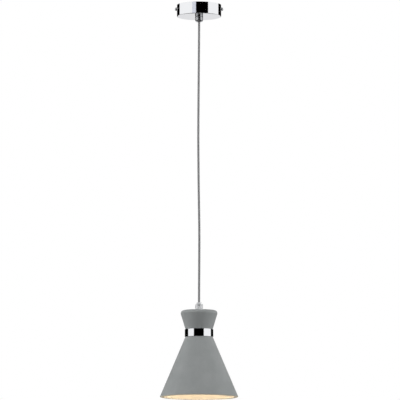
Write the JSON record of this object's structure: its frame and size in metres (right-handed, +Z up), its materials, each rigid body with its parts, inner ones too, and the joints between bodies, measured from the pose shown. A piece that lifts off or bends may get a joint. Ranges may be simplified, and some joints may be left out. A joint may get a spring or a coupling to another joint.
{
  "type": "pendant ceiling light",
  "caption": "Pendant ceiling light: round chrome canopy, thin grey cord and an hourglass concrete shade with a chrome waist band around a screw-in bulb",
  "frame": {"origin": "centre of the bracket face that lies against the ceiling", "axes": "+Z up towards the ceiling, the light hangs along -Z, +X through the right-hand canopy screw, -Y towards the viewer"},
  "size_m": [0.175, 0.175, 0.89],
  "materials": {
    "chrome": "polished chrome plate",
    "zinc_steel": "zinc-plated pressed steel",
    "brass": "plain turned brass",
    "grey_cord": "matte mid-grey round cord",
    "brown_wire": "brown core insulation",
    "blue_wire": "blue core insulation",
    "white_plastic": "white moulded plastic",
    "clear_plastic": "clear to milky moulded plastic",
    "black_plastic": "black moulded plastic",
    "grey_rubber": "soft dark rubber",
    "concrete": "matte fine-grained cast concrete",
    "white_ceramic": "white unglazed ceramic",
    "bulb_metal": "bright rolled aluminium",
    "opal_cover": "opal light-spreading plastic",
    "circuit_board": "white solder-masked board"
  },
  "bodies": {
    "bracket": {"ceiling_bracket": "zinc_steel"},
    "canopy": {"canopy_cup": "chrome", "canopy_nut_left": "zinc_steel", "canopy_nut_right": "zinc_steel", "gland_body": "chrome", "gland_washer": "zinc_steel", "gland_nut": "brass", "cord_clamp": "white_plastic", "cord_clamp_screw": "zinc_steel", "terminal_block": "white_plastic", "terminal_insert_live": "brass", "terminal_insert_neutral": "brass", "terminal_screw_1": "zinc_steel", "terminal_screw_2": "zinc_steel", "terminal_screw_3": "zinc_steel", "terminal_screw_4": "zinc_steel", "core_live_upper": "brown_wire", "core_neutral_upper": "blue_wire", "cord_tail_upper": "grey_cord"},
    "left_washer": {"canopy_washer_left": "zinc_steel"},
    "left_screw": {"canopy_screw_left": "chrome"},
    "right_washer": {"canopy_washer_right": "zinc_steel"},
    "right_screw": {"canopy_screw_right": "chrome"},
    "gland_pivot": {"gland_bush": "grey_rubber"},
    "hanging_cord": {"cord": "grey_cord"},
    "grip_pivot": {"grip_bush": "grey_rubber"},
    "shade": {"cord_grip": "clear_plastic", "cord_grip_screw": "zinc_steel", "cord_tail_lower": "grey_cord", "core_live_lower": "brown_wire", "core_neutral_lower": "blue_wire", "threaded_tube": "zinc_steel", "collar_washer": "zinc_steel", "tube_nut": "zinc_steel", "upper_collar": "concrete", "waist_ring": "chrome", "lower_shade": "concrete", "lampholder_cap": "black_plastic", "lampholder_cap_screw": "zinc_steel", "lampholder_insert": "white_ceramic", "lampholder_screw_live": "brass", "lampholder_screw_neutral": "brass", "centre_contact": "brass", "thread_shell": "brass", "lampholder_sleeve": "black_plastic", "shade_ring": "black_plastic"},
    "bulb_travel": {"bulb_tip": "bulb_metal"},
    "bulb": {"bulb_insulator": "black_plastic", "bulb_cap": "bulb_metal", "bulb_housing": "white_plastic", "driver_board": "circuit_board", "led_board": "circuit_board", "bulb_globe": "opal_cover"}
  },
  "joints": [
    {"name": "canopy_drop", "type": "slide", "parent": "bracket", "child": "canopy", "axis": [0, 0, -1], "range_m": [0, 0.05]},
    {"name": "left_screw_travel", "type": "slide", "parent": "canopy", "child": "left_washer", "axis": [-1, 0, 0], "range_m": [0, 0.0028]},
    {"name": "left_screw_turn", "type": "hinge", "parent": "left_washer", "child": "left_screw", "pos_m": [-0.0503, 0, -0.01], "axis": [-1, 0, 0], "range_deg": [0, 1440]},
    {"name": "right_screw_travel", "type": "slide", "parent": "canopy", "child": "right_washer", "axis": [1, 0, 0], "range_m": [0, 0.0028]},
    {"name": "right_screw_turn", "type": "hinge", "parent": "right_washer", "child": "right_screw", "pos_m": [0.0503, 0, -0.01], "axis": [1, 0, 0], "range_deg": [0, 1440]},
    {"name": "cord_swing_forward", "type": "hinge", "parent": "canopy", "child": "gland_pivot", "pos_m": [0, 0, -0.0384], "axis": [1, 0, 0], "range_deg": [-25, 25]},
    {"name": "cord_swing_sideways", "type": "hinge", "parent": "gland_pivot", "child": "hanging_cord", "pos_m": [0, 0, -0.0384], "axis": [0, 1, 0], "range_deg": [-25, 25]},
    {"name": "shade_tilt_forward", "type": "hinge", "parent": "hanging_cord", "child": "grip_pivot", "pos_m": [0, 0, -0.678], "axis": [1, 0, 0], "range_deg": [-15, 15]},
    {"name": "shade_tilt_sideways", "type": "hinge", "parent": "grip_pivot", "child": "shade", "pos_m": [0, 0, -0.678], "axis": [0, 1, 0], "range_deg": [-15, 15]},
    {"name": "bulb_travel", "type": "slide", "parent": "shade", "child": "bulb_travel", "axis": [0, 0, -1], "range_m": [0, 0.0181]},
    {"name": "bulb_turn", "type": "hinge", "parent": "bulb_travel", "child": "bulb", "pos_m": [0, 0, -0.7685], "axis": [0, 0, -1], "range_deg": [0, 1800]}
  ],
  "couplings": [
    {"joint": "left_screw_turn", "follows": "left_screw_travel", "rad_per_m": 8976},
    {"joint": "right_screw_turn", "follows": "right_screw_travel", "rad_per_m": 8976},
    {"joint": "bulb_turn", "follows": "bulb_travel", "rad_per_m": 1735.7}
  ]
}
